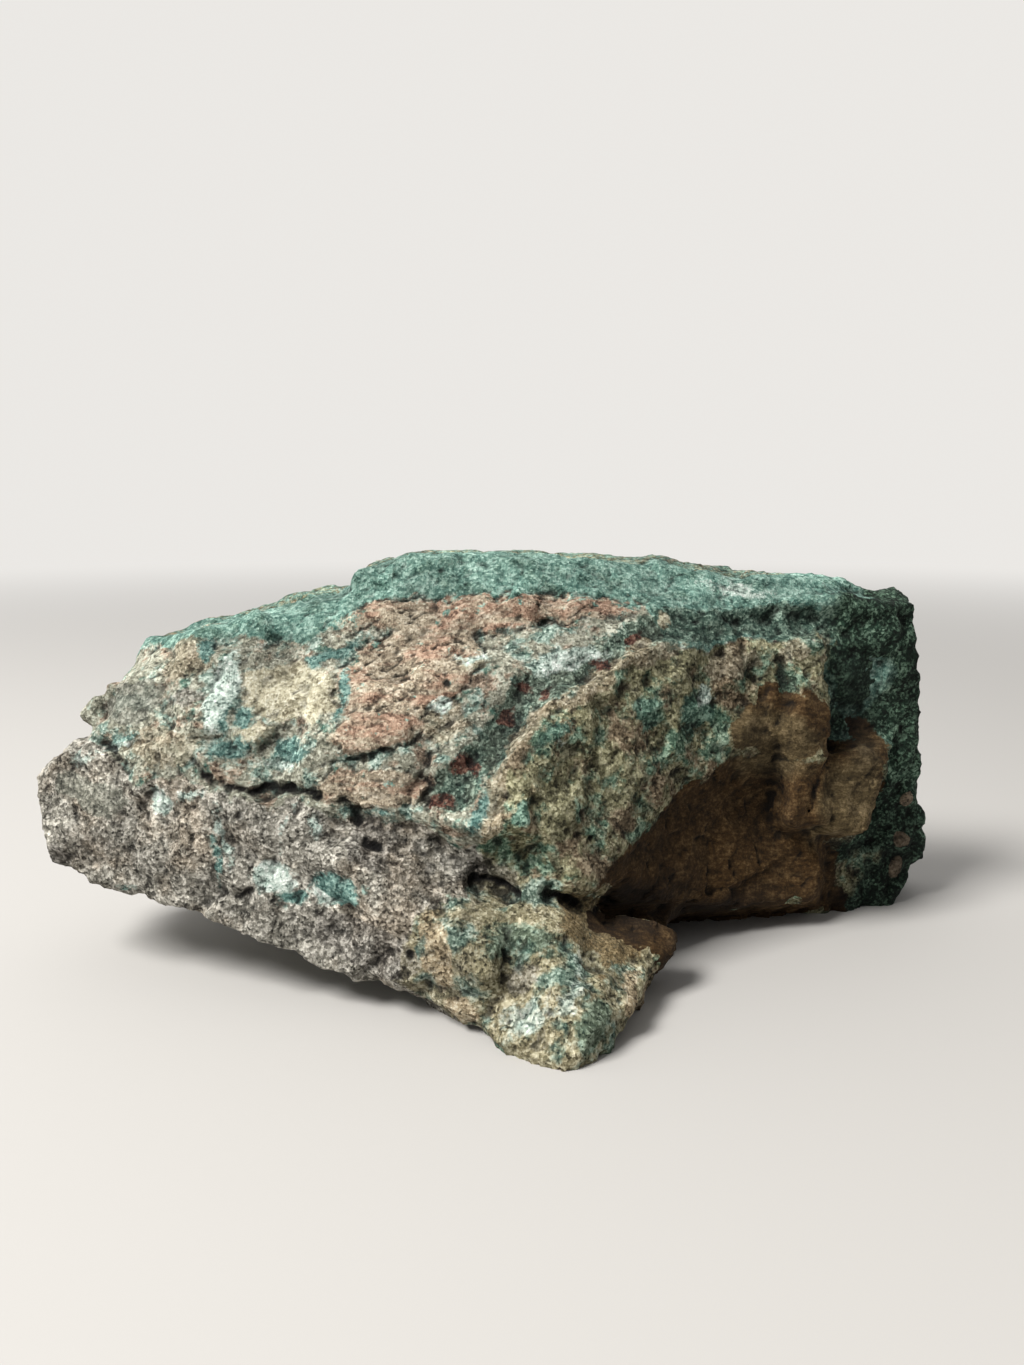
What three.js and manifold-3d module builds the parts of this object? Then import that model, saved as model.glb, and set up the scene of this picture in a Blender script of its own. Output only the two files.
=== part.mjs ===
// A raw block of basalt, about 48 cm long, broken out of the lava that held a mineral cavity.
// Its top, left and right end keep the green skin that lined the cavity, under plates of tan crust.
// Its right front is a fresh, bowl-shaped break. It stands on the flat of its underside, which runs
// out in front into a lobe, and its left end hangs over the ground. It is one stone and one solid.
//
// Units are millimetres. +X runs along the stone to its right end, +Y to its back, +Z up.
// The stone is made as such a stone breaks. Each chunk is what flat breaks leave of a larger block,
// and each break goes through a landmark and faces some way. The chunks are joined, hollows are cut
// out of them, what was left standing in the hollows is joined on, and the whole is cut into small
// triangles and bent a little by noise, as broken rock is.

import * as THREE from "three";
import { ImprovedNoise } from "three/addons/math/ImprovedNoise.js";
import { TessellateModifier } from "three/addons/modifiers/TessellateModifier.js";
import { mergeVertices } from "three/addons/utils/BufferGeometryUtils.js";
import Module from "manifold-3d";

const wasm = await Module();
wasm.setup();

// ---- Driving dimensions -------------------------------------------------------------------

const LENGTH = 477;
const DEPTH = 240;
const HEIGHT = 202;

const LONGEST_EDGE = 14; // of the triangles that the stone is cut into
const SHORTEST_EDGE = 4.5; // shorter ones are closed up where that leaves the shape alone
const SPLITS = 24; // rounds of cutting, which is more than the longest edge needs
const NEEDLE = 1; // a triangle flatter than this is a needle
const TURN = 0.96; // a triangle may turn by no more than this cosine when edges are cleared up
const WELD = 1e-3; // points nearer than this are one
const ROUND_DETAIL = 5; // of the ellipsoids that cut the hollows

// Bending of the broken rock: the size of its lumps and how far they move its surface.
const RELIEF = [
  { lump: 58, height: 5 },
  { lump: 25, height: 3 },
];
const FOOT = 25; // the bending dies away below this height, so that the feet stay flat

// ---- Landmarks ----------------------------------------------------------------------------

// A place on the stone, as shares of its length and depth from the middle, and of its height.
function place(along, deep, up) {
  return new THREE.Vector3((along * LENGTH) / 2, (deep * DEPTH) / 2, up * HEIGHT);
}

const tip = place(-0.99, -0.1, 0.45); // the blunt left end
const tipTop = place(-0.97, -0.05, 0.485);
const tipFoot = place(-0.94, -0.18, 0.26); // where its underside begins
const wingFront = place(-0.5, -0.42, 0.32); // the bare front under the shoulder
const wingKeel = place(-0.3, -0.55, 0.08); // its lower front edge
const notch = place(-0.87, 0, 0.54); // where the shoulder steps in over the tip
const spurEnd = place(-0.93, 0.05, 0.6); // the spur that sticks out over the notch
const shoulderEnd = place(-0.82, 0.05, 0.69);
const shoulderTop = place(-0.7, 0.15, 0.8);
const lip = place(-0.4, -0.36, 0.45); // the shoulder's broken lower lip
const ledge = place(-0.4, -0.38, 0.43); // the top of the bare front, just under the lip
const slabStep = place(-0.35, 0.18, 0.91); // the step at the top slab's left end
const slabTop = place(-0.18, 0.35, 0.985); // the highest part
const slabEnd = place(0.6, 0.45, 0.93);
const rimLow = place(0.04, -0.46, 0.5); // the rim between the shoulder and the fresh break
const rimHigh = place(0.25, -0.1, 0.77);
const rimEnd = place(0.68, 0.16, 0.77);
const ridgeFoot = place(0.1, -0.5, 0.27); // where the undercut below the break begins
const endTop = place(0.93, 0.55, 0.88); // the right end's upper corner
const endSide = place(0.99, 0.55, 0.28);
const endFoot = place(0.92, 0.48, 0);
const endFront = place(0.87, 0.42, 0.45);
const backHigh = place(0.15, 0.84, 0.93);
const backWall = place(0.3, 0.92, 0.5);
const backLeft = place(-0.72, 0.72, 0.5);
const backFoot = place(-0.35, 0.7, 0);

// ---- The chunks, each as its flat breaks ---------------------------------------------------

// A break is [the landmark it goes through, the degrees that it faces to the right of the front,
// the degrees that it faces up].

// The heavy right half, from the ridge that faces forward to the back wall.
const core = [
  [slabTop, 150, 88], [slabTop, -90, 80], [slabEnd, 88, 83], [slabStep, -95, 6], [slabStep, -3, 42],
  [rimLow, -8, 20], [rimLow, -6, 0], [rimHigh, 14, 50], [rimHigh, 26, 15], [rimEnd, 62, 0],
  [ridgeFoot, 10, -56], [backFoot, -75, -45], [backWall, 172, 8], [backWall, -168, 2], [backHigh, 180, 48],
];

// The crusted shoulder: the upper left, which slopes to the front and ends in a broken lower lip.
const shoulder = [
  [slabStep, -3, 42], [lip, -10, 25], [shoulderTop, -88, 78], [shoulderTop, -55, 52],
  [shoulderEnd, -80, 28], [notch, -68, -30], [lip, -16, -45], [rimLow, 90, 0], [slabTop, 150, 88],
  [backLeft, -140, 10], [backLeft, 180, 5], [wingFront, 0, -80],
];

// The bare wing of basalt under the shoulder, which hangs over the ground to the left.
const wing = [
  [tip, -88, -14], [tipTop, -70, 55], [tipFoot, -75, -75], [wingKeel, -14, -46], [wingFront, -17, 7],
  [ledge, 25, 55], [notch, -60, 74], [backLeft, -130, 0], [backLeft, 180, -20], [rimLow, 60, 0],
];

const spur = [
  [spurEnd, -85, 44], [spurEnd, -75, -50], [spurEnd, -20, 20], [spurEnd, -30, -60], [shoulderTop, 90, 0],
  [shoulderEnd, 180, 30],
];

const CHUNKS = [core, shoulder, wing, spur];

// ---- The hollows: ellipsoids, tipped about X and then turned about Z, in degrees ---------------

const HOLLOWS = [
  { at: place(0.56, -0.25, 0.3), half: [90, 50, 70], turn: 30, tip: 0 }, // bowl of the fresh break
  { at: place(0.3, -0.55, 0.08), half: [70, 46, 50], turn: 30, tip: 0 }, // a second scoop, lower left
  { at: place(-0.05, 1.25, 0.65), half: [110, 60, 62], turn: -6, tip: 10 }, // old scar high on the back
  { at: place(-0.72, 1.05, 0.5), half: [70, 38, 60], turn: 25, tip: 10 }, // scar behind the wing
];

// ---- What stands proud of the hollows --------------------------------------------------------

const lobeTip = place(0.11, -0.98, 0.01); // the lobe in front, the stone's forefoot
const lobeLeft = place(-0.13, -0.66, 0.2);
const lobeTop = place(0.03, -0.52, 0.25);
const lobeHeel = place(0, -0.84, 0);
const lobeToe = place(0.19, -0.82, 0);
const lobeBack = place(0.05, -0.32, 0.1);
const blockTop = place(0.7, 0.17, 0.48); // the squared block at the right of the bowl
const blockEdge = place(0.65, 0.14, 0.31);
const blockEnd = place(0.86, 0.27, 0.44);
const flakeEdge = place(0.62, 0.1, 0.6); // a flake left high in the bowl
const flakeFoot = place(0.6, 0.1, 0.48);
const knobEnd = place(0.32, -0.2, 0.07); // a low knob under the right front

const lobe = [
  [lobeTip, 40, 10], [lobeHeel, -50, -48], [lobeLeft, -62, 6], [lobeToe, 68, -25], [lobeTop, 45, 55],
  [lobeTop, -25, 42], [lobeBack, 180, 10],
];

const rightEnd = [
  [endTop, 20, 80], [endSide, 90, 7], [endFoot, 80, -34], [endFront, 15, -3],
  [slabEnd, -90, 0], [backWall, 172, 8],
];

const plate = [
  [rimEnd, -10, 60], [rimEnd, 15, 5], [rimEnd, 80, 5], [flakeEdge, -75, 0], [blockEdge, 0, -60],
  [slabEnd, 180, 0],
];

const block = [
  [blockTop, 0, 78], [blockTop, 22, 6], [blockEdge, 10, -55], [blockEdge, -70, 12], [blockEnd, 78, -20],
  [slabEnd, 180, 0],
];

const flake = [
  [flakeEdge, 0, 70], [flakeEdge, 18, 15], [flakeFoot, 0, -35], [flakeFoot, -80, 0], [rimEnd, 80, 0],
  [slabEnd, 180, 0],
];

const knob = [
  [knobEnd, 65, 0], [knobEnd, -10, 62], [knobEnd, -100, -70], [rimEnd, 180, 0],
];

const REMNANTS = [lobe, rightEnd, plate, block, flake, knob];

// ---- Solids --------------------------------------------------------------------------------

// A geometry with only its points and triangles, and every shared point once.
function welded(geometry) {
  geometry.deleteAttribute("normal");
  geometry.deleteAttribute("uv");
  return mergeVertices(geometry, WELD);
}

function geometryOf(points, corners) {
  const geometry = new THREE.BufferGeometry();
  geometry.setAttribute("position", new THREE.BufferAttribute(Float32Array.from(points), 3));
  geometry.setIndex(Array.from(corners));
  return geometry;
}

function solid(geometry) {
  const closed = welded(geometry);
  return new wasm.Manifold(new wasm.Mesh({
    numProp: 3,
    vertProperties: closed.attributes.position.array,
    triVerts: Uint32Array.from(closed.index.array),
  }));
}

// What lies past a flat break: a cube far larger than the stone, with one face on the break.
function beyond([landmark, right, up]) {
  const side = 4 * LENGTH;
  const cube = new THREE.BoxGeometry(side, side, side);
  cube.translate(0, -side / 2, 0);
  cube.rotateX(-THREE.MathUtils.degToRad(up));
  cube.rotateZ(THREE.MathUtils.degToRad(right));
  cube.translate(...landmark);
  return solid(cube);
}

const ground = [place(0, 0, 0), 0, -90];

function chunk(breaks) {
  const uncut = solid(new THREE.BoxGeometry(3 * LENGTH, 3 * LENGTH, 3 * LENGTH));
  return [...breaks, ground].reduce((left, side) => left.subtract(beyond(side)), uncut);
}

function hollow({ at, half, turn, tip: lean }) {
  const round = new THREE.IcosahedronGeometry(1, ROUND_DETAIL);
  round.scale(...half);
  round.rotateX(THREE.MathUtils.degToRad(lean));
  round.rotateZ(THREE.MathUtils.degToRad(turn));
  round.translate(...at);
  return solid(round);
}

function broken() {
  let stone = CHUNKS.map(chunk).reduce((whole, piece) => whole.add(piece));
  for (const cut of HOLLOWS) stone = stone.subtract(hollow(cut));
  for (const breaks of REMNANTS) stone = stone.add(chunk(breaks));
  const { vertProperties, triVerts } = stone.getMesh();
  return geometryOf(vertProperties, triVerts);
}

// ---- Clearing up after the cuts ---------------------------------------------------------------

function pointsOf({ position }) {
  const pointOf = (v) => new THREE.Vector3().fromBufferAttribute(position, v);
  return Array.from({ length: position.count }, (_, v) => pointOf(v));
}

function trianglesOf({ array }) {
  return Array.from({ length: array.length / 3 }, (_, t) => Array.from(array.slice(3 * t, 3 * t + 3)));
}

// The way a triangle faces, or would face if one of its points moved onto another.
function facing(triangle, points, from, to) {
  const [a, b, c] = triangle.map((v) => points[v === from ? to : v]);
  return new THREE.Triangle(a, b, c).getNormal(new THREE.Vector3());
}

// Where the cuts have met, they leave short edges. Each is closed up, by moving one of its ends
// onto the other, unless that would turn or pinch the surface.
function closeShortEdges(geometry) {
  const points = pointsOf(geometry.attributes);
  const around = points.map(() => new Set()); // the triangles at each point
  for (const triangle of trianglesOf(geometry.index)) {
    triangle.forEach((v) => around[v].add(triangle));
  }
  const neighbours = (v) => new Set([...around[v]].flat().filter((n) => n !== v));

  // How well the surface keeps its facing if `from` moves onto `to`; below 0 it may not.
  const keeps = (from, to) => {
    const shared = [...neighbours(from)].filter((n) => neighbours(to).has(n));
    if (shared.length !== 2) return -1;
    let least = 1;
    for (const triangle of around[from]) {
      if (triangle.includes(to)) continue;
      const was = facing(triangle, points, from, from);
      const is = facing(triangle, points, from, to);
      least = Math.min(least, is.lengthSq() === 0 ? -1 : was.dot(is));
    }
    return least;
  };

  for (let closed = 1; closed > 0;) {
    closed = 0;
    for (let from = 0; from < points.length; from++) {
      const near = [...neighbours(from)].filter((n) => points[n].distanceTo(points[from]) < SHORTEST_EDGE);
      const best = near.map((to) => ({ to, kept: keeps(from, to) })).sort((p, q) => q.kept - p.kept)[0];
      if (!best || best.kept < TURN) continue;
      for (const triangle of [...around[from]]) {
        around[from].delete(triangle);
        if (triangle.includes(best.to)) {
          triangle.forEach((v) => around[v].delete(triangle));
        } else {
          triangle[triangle.indexOf(from)] = best.to;
          around[best.to].add(triangle);
        }
      }
      closed++;
    }
  }
  const left = new Set(around.flatMap((triangles) => [...triangles]));
  return welded(geometryOf(points.flatMap((p) => p.toArray()), [...left].flat()).toNonIndexed());
}

// The cuts also leave needles, which are triangles whose three corners lie nearly in a line. The
// long edge of a needle is swapped for one from its blunt corner to the far corner of the triangle
// next to it, where both new triangles are blunter and face as that one did.
function swapNeedles(geometry) {
  const points = pointsOf(geometry.attributes);
  const triangles = trianglesOf(geometry.index);
  const owner = new Map(); // the triangle that goes along each edge in each direction
  const edges = (t) => triangles[t].map((v, k) => `${v} ${triangles[t][(k + 1) % 3]}`);
  const enter = (t) => edges(t).forEach((edge) => owner.set(edge, t));
  const leave = (t) => edges(t).forEach((edge) => owner.delete(edge));
  triangles.forEach((_, t) => enter(t));

  const length = ([a, b]) => points[a].distanceTo(points[b]);
  const longestFirst = ([a, b, c]) => {
    return [[a, b, c], [b, c, a], [c, a, b]].sort((p, q) => length(q) - length(p))[0];
  };
  const height = (triangle) => {
    const [a, b, c] = longestFirst(triangle).map((v) => points[v]);
    return (2 * new THREE.Triangle(a, b, c).getArea()) / a.distanceTo(b);
  };

  for (let swapped = 1; swapped > 0;) {
    swapped = 0;
    for (let t = 0; t < triangles.length; t++) {
      const flat = height(triangles[t]);
      if (flat > NEEDLE) continue;
      const [from, to, blunt] = longestFirst(triangles[t]);
      const next = owner.get(`${to} ${from}`);
      const far = triangles[next].find((v) => v !== from && v !== to);
      if (owner.has(`${blunt} ${far}`) || owner.has(`${far} ${blunt}`)) continue;
      const pair = [[blunt, from, far], [blunt, far, to]];
      const was = facing(triangles[next], points);
      const worse = (triangle) => height(triangle) <= flat || facing(triangle, points).dot(was) < TURN;
      if (pair.some(worse)) continue;
      [t, next].forEach(leave);
      [triangles[t], triangles[next]] = pair;
      [t, next].forEach(enter);
      swapped++;
    }
  }
  return geometryOf(points.flatMap((p) => p.toArray()), triangles.flat());
}

// ---- The broken surface ----------------------------------------------------------------------

const noise = new ImprovedNoise();

// How far the rock is moved at a point. It changes slowly from point to point, so nothing folds.
function relief(point) {
  const move = new THREE.Vector3();
  RELIEF.forEach(({ lump, height }, layer) => {
    const at = (axis) => {
      const shift = 7.3 * layer + 31.7 * axis;
      return height * noise.noise(point.x / lump + shift, point.y / lump + 3.1, point.z / lump + shift);
    };
    move.add(new THREE.Vector3(at(0), at(1), at(2)));
  });
  return move.multiplyScalar(THREE.MathUtils.smoothstep(point.z, 0, FOOT));
}

function stoneGeometry() {
  const cleared = swapNeedles(closeShortEdges(broken()));
  const cut = welded(new TessellateModifier(LONGEST_EDGE, SPLITS).modify(cleared));
  const geometry = swapNeedles(closeShortEdges(cut));
  const { position } = geometry.attributes;
  const point = new THREE.Vector3();
  for (let i = 0; i < position.count; i++) {
    point.fromBufferAttribute(position, i);
    point.add(relief(point));
    position.setXYZ(i, point.x, point.y, point.z);
  }
  geometry.computeBoundingBox();
  const size = geometry.boundingBox.getSize(new THREE.Vector3());
  geometry.scale(LENGTH / size.x, DEPTH / size.y, HEIGHT / size.z);
  geometry.computeVertexNormals();
  return geometry;
}

// ---- The part: its origin is on the ground under the middle of its box -----------------------

const rock = new THREE.Mesh(
  stoneGeometry(),
  new THREE.MeshStandardMaterial({ color: 0x6f6a5c, roughness: 0.92, metalness: 0 }),
);
rock.name = "rock";
const box = new THREE.Box3().setFromObject(rock);
const middle = box.getCenter(new THREE.Vector3());
rock.position.set(-middle.x, -middle.y, -box.min.z);

const part = new THREE.Group();
part.add(rock);

export default part;
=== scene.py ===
import bpy
import numpy as np
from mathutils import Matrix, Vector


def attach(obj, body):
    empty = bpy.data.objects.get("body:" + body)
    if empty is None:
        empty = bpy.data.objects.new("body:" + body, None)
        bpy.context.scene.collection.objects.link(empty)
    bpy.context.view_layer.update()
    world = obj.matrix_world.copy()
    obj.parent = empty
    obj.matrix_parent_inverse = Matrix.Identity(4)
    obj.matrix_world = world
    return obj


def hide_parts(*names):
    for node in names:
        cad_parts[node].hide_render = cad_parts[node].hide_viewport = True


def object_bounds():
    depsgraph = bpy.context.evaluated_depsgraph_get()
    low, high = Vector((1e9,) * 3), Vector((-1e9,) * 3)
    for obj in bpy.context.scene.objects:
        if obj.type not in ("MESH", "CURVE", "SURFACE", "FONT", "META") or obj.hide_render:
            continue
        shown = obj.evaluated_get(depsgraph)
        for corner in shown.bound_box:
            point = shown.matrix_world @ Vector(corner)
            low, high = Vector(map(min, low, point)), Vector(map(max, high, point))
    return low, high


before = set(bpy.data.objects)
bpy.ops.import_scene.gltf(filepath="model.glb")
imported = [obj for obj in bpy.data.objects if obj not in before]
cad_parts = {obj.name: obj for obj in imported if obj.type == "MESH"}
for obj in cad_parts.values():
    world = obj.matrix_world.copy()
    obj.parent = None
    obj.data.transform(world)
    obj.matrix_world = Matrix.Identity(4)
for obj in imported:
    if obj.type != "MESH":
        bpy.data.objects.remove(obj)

box_at_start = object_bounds()
bpy.ops.object.select_all(action="DESELECT")

# ---- The camera ---------------------------------------------------------------------------------
# It stands half a metre in front of the stone's middle, a little higher than its top, and looks
# down on it by ten degrees. Its wide lens takes in the whole length of the stone from so near.

CAMERA_PLACE = (0, -0.5, 0.23)
LOOKS_DOWN = 10.2
LENS, FILM_WIDTH = 27, 36

bpy.ops.object.camera_add(location=CAMERA_PLACE, rotation=(np.radians(90 - LOOKS_DOWN), 0, 0))
camera = bpy.context.object
camera.data.lens = LENS
camera.data.sensor_width = FILM_WIDTH
bpy.context.scene.camera = camera
bpy.ops.object.select_all(action="DESELECT")

# ---- The stone: its body --------------------------------------------------------------------
# One block of basalt, broken on every side. Its main forms are those of the CAD solid. Its flat
# triangles are made again in small even faces, which can hold the detail of the broken surface.

MM = 0.001  # the stone is shaped in millimetres
MERGED_WITHIN = 0.1
COARSE_FACE = 2.2  # the size of its faces at first
FINE_FACE = 2.06  # and when its larger breaks are made

stone = bpy.data.objects.new("stone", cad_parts["rock"].data.copy())
bpy.context.scene.collection.objects.link(stone)
bpy.context.view_layer.objects.active = stone
stone.select_set(True)
bpy.ops.object.mode_set(mode="EDIT")
bpy.ops.mesh.select_all(action="SELECT")
bpy.ops.mesh.remove_doubles(threshold=MERGED_WITHIN * MM)
bpy.ops.object.mode_set(mode="OBJECT")


def apply(kind, **settings):
    """Adds a modifier to the stone with these settings, and applies it."""
    modifier = stone.modifiers.new(kind.lower(), kind)
    for name, value in settings.items():
        setattr(modifier, name, value)
    bpy.ops.object.modifier_apply(modifier=modifier.name)


def read(what):
    """Every vertex's place (co) or outward direction (normal), as rows of x, y, z."""
    rows = np.empty(len(stone.data.vertices) * 3)
    stone.data.vertices.foreach_get(what, rows)
    return rows.reshape(-1, 3)


def push(outward):
    """Moves every vertex along its outward direction by its own number of millimetres."""
    places = read("co") + read("normal") * (outward * MM)[:, None]
    stone.data.vertices.foreach_set("co", places.ravel())
    stone.data.update()


low_corner, high_corner = (np.array(corner) / MM for corner in box_at_start)
HALF_LENGTH = (high_corner[0] - low_corner[0]) / 2
HEIGHT = high_corner[2] - low_corner[2]

apply("REMESH", mode="VOXEL", voxel_size=COARSE_FACE * MM)

# ---- The stone: what its surface is broken and worn by ----------------------------------------
# Broken rock has lumps, flat chips and pits of every size. Each of these gives a height at every
# point of the surface, in millimetres or as a share of 1. A seed picks one pattern out of many.

LUMP_HEIGHT = 1.6  # brings the highest lumps to about 1
GROOVE = 0.12  # how much of a chip's width its groove takes


def chance(cell, seed):
    """A fixed random number from 0 to 1 for each whole-numbered cell. The large numbers stir it."""
    key = cell[:, 0] * 73856093 ^ cell[:, 1] * 19349663 ^ cell[:, 2] * 83492791 ^ seed * 2654435761
    key = (key ^ key >> 15) * 2246822519 & 0xFFFFFFFF
    key = (key ^ key >> 13) * 3266489917 & 0xFFFFFFFF
    return (key ^ key >> 16) / 0xFFFFFFFF


def lumps(p, size, seed):
    """Smooth lumps and hollows about `size` across, from about -1 to 1."""
    q = p / size
    cell = np.floor(q).astype(np.int64)
    t = q - cell
    ease = t * t * t * (t * (t * 6 - 15) + 10)
    total = np.zeros(len(p))
    for corner in np.ndindex(2, 2, 2):
        weight = np.prod(np.where(corner, ease, 1 - ease), axis=1)
        slope = np.stack([chance(cell + corner, seed * 3 + axis) for axis in range(3)], axis=1) * 2 - 1
        total += weight * np.sum(slope * (t - corner), axis=1)
    return total * LUMP_HEIGHT


def rough(p, size, seed, steps=3):
    """Lumps of `size` with finer and lower ones on them."""
    return sum(lumps(p, size / 2 ** step, seed + step) / 2 ** step for step in range(steps))


def cells(p, size, seed):
    """The offset from the nearest of many random seeds about `size` apart, how much farther off the
    second is, and three fixed random numbers of the nearest."""
    q = p / size
    cell = np.floor(q).astype(np.int64)
    near = np.full(len(p), 9.0)
    second = np.full(len(p), 9.0)
    offset = np.zeros_like(q)
    owner = np.zeros_like(cell)
    for step in np.ndindex(3, 3, 3):
        at = cell + step - 1
        away = q - at - np.stack([chance(at, seed * 5 + axis) for axis in range(3)], axis=1)
        far = np.linalg.norm(away, axis=1)
        closer = far < near
        second = np.where(closer, near, np.minimum(second, far))
        near = np.where(closer, far, near)
        offset[closer] = away[closer]
        owner[closer] = at[closer]
    own = np.stack([chance(owner, seed * 5 + 3 + axis) for axis in range(3)], axis=1)
    return offset * size, (second - near) * size, own


def chips(p, size, seed, slope=0.3):
    """Flat chips about `size` across, each tilted its own way, with grooves between them."""
    offset, gap, own = cells(p, size, seed)
    return np.sum(offset * (own * 2 - 1), axis=1) * slope * np.clip(gap / (size * GROOVE), 0, 1)


def facets(p, size, seed, slope):
    """Flat faces about `size` across, each tilted its own way, with a sharp step between them."""
    offset, _, own = cells(p, size, seed)
    return np.sum(offset * (own * 2 - 1), axis=1) * slope


def pits(p, size, seed, share, width):
    """Round pits `width` across in a share of the cells, from 0 at the rim to 1 at the bottom."""
    offset, _, own = cells(p, size, seed)
    return np.clip(1 - (np.linalg.norm(offset, axis=1) / (width / 2)) ** 2, 0, 1) * (own[:, 0] < share)


def ramp(x, low, high):
    """0 below low, 1 above high, and a smooth rise between."""
    t = np.clip((x - low) / (high - low), 0, 1)
    return t * t * (3 - 2 * t)


# ---- The stone: where each thing is on it -----------------------------------------------------
# Crust, skin, bloom and breaks lie on the front as ovals with ragged edges. Each oval has its
# middle, as a share of the half length to the right and of the height up, its half width and half
# height in millimetres, and its tilt in degrees. Edges and cracks run through such places too.

PLATES = [  # the crust: its upper band and broad sheet, and the pieces that broke apart below it
    (-0.08, 0.86, 64, 8, 3), (0.15, 0.87, 24, 4, 2), (-0.21, 0.73, 36, 19, 18), (-0.26, 0.62, 22, 9, 12),
    (-0.27, 0.49, 26, 9, 2),
]
TAN = [  # thin tan rock and crust, flush with what is round it
    (-0.67, 0.76, 13, 8, 15), (-0.71, 0.56, 22, 8, 0), (0.29, 0.77, 16, 4, 8), (0.47, 0.73, 18, 6, -6),
    (-0.04, 0.42, 4, 9, -12), (0.61, 0.76, 8, 5, -25), (0.685, 0.76, 4, 8, -25), (-0.13, 0.64, 12, 10, -30),
    (-0.14, 0.16, 6, 16, 5), (-0.09, 0.05, 7, 7, -40), (0.225, 0.06, 4, 10, 20),
]
CREAM = [(-0.45, 0.685, 23, 13, -6), (-0.51, 0.60, 9, 3, 0), (-0.08, 0.76, 7, 3, -10), (0.31, 0.85, 3, 3, 0)]
TEAL = [  # where the green skin shows through the crust and the bare rock
    (-0.37, 0.765, 16, 4, 20), (-0.34, 0.69, 3, 9, -10), (-0.56, 0.57, 10, 5, 15), (-0.43, 0.565, 10, 4, 10),
    (-0.53, 0.63, 5, 4, 0), (-0.57, 0.64, 4, 10, 5), (-0.27, 0.43, 10, 2, 0), (-0.80, 0.57, 8, 3, 20),
    (-0.78, 0.225, 3, 2, 0), (0.02, 0.45, 5, 8, -10), (0.27, 0.64, 7, 8, 20), (0.39, 0.62, 8, 12, -30),
    (0.09, 0.61, 9, 3, 25), (-0.055, 0.46, 4, 12, -35), (-0.58, 0.32, 2, 12, 9), (-0.33, 0.28, 12, 8, 0),
    (-0.43, 0.25, 7, 4, 0), (0.02, 0.20, 16, 5, -5), (0.14, 0.07, 9, 8, 40), (-0.16, 0.17, 3, 5, 0),
    (-0.64, 0.78, 5, 4, 0),
]
BLOOM = [  # pale, dusty bloom on the skin and the bare rock
    (-0.585, 0.69, 9, 20, -12), (-0.80, 0.555, 12, 3, 10), (-0.88, 0.52, 9, 3, 20), (-0.70, 0.44, 5, 6, 0),
    (-0.63, 0.46, 10, 3, 5), (-0.45, 0.53, 9, 3, 0), (-0.565, 0.37, 3, 15, 9), (-0.46, 0.29, 12, 8, 15),
    (-0.43, 0.40, 2, 8, -8), (-0.38, 0.41, 3, 5, 0), (-0.36, 0.25, 7, 5, -20), (0.09, 0.585, 3, 2, 0),
    (0.10, 0.12, 9, 4, 50), (0.03, 0.075, 16, 4, 25), (-0.08, 0.77, 9, 3, 5),
    (0.12, 0.76, 20, 6, 15), (0.50, 0.905, 20, 3, -8), (-0.13, 0.66, 6, 5, 0), (0.41, 0.66, 6, 6, 0),
]
GREY = [(-0.78, 0.655, 18, 9, 15), (-0.86, 0.44, 20, 9, -12)]  # smooth grey rock
DARK = [  # dark, pitted rock
    (-0.66, 0.67, 9, 5, 10), (-0.27, 0.37, 12, 8, -30), (0.02, 0.13, 8, 5, 0), (-0.27, 0.16, 30, 9, -12),
    (-0.05, 0.30, 14, 5, -10), (-0.94, 0.28, 8, 8, -40),
]
RUST = [  # red-brown nodules
    (-0.01, 0.635, 5, 4, 0), (0.07, 0.685, 3, 2, 0), (-0.10, 0.54, 4, 4, 0), (-0.065, 0.53, 3, 3, 0),
    (0.18, 0.75, 5, 4, 0), (-0.13, 0.465, 6, 3, 20), (0.02, 0.70, 3, 2, 0), (0.25, 0.80, 3, 3, 0),
]
BREAK = [  # the clean break: the bowl, and the plate, the flake and the block at its right
    (0.47, 0.26, 76, 42, 22), (0.30, 0.22, 40, 26, 35), (0.59, 0.56, 24, 20, -10), (0.74, 0.38, 25, 34, -22),
    (0.70, 0.12, 14, 24, 0), (0.48, 0.01, 66, 14, 3),
]
PALE_BREAK = [(0.56, 0.52, 26, 18, -25), (0.75, 0.37, 18, 28, -25)]  # its paler flake and block
PAINTED_SHADOWS = [  # painted shadow: nearly black where the rock lies in shade under the rock above it
    (0.24, 0.19, 30, 9, -6), (0.42, 0.09, 40, 8, 2), (0.775, 0.62, 13, 30, 8), (0.80, 0.07, 8, 16, -8),
]
LOBE = [(0.03, 0.13, 58, 34, 0)]
SMOOTH = [(0.175, 0.185, 22, 9, -26)]  # the lobe's clean right face
KNOBS = [  # brown knobs on the green right end
    (0.93, 0.31, 4.5, 4.5, 0), (0.92, 0.20, 5, 5, 20), (0.92, 0.11, 5, 7, 0), (0.97, 0.56, 3, 3, 0),
]
HOLES = [(-0.13, 0.71, 2.2, 2, 0), (-0.165, 0.715, 1.3, 1.3, 0), (-0.19, 0.155, 2.5, 2.2, 0)]

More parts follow.
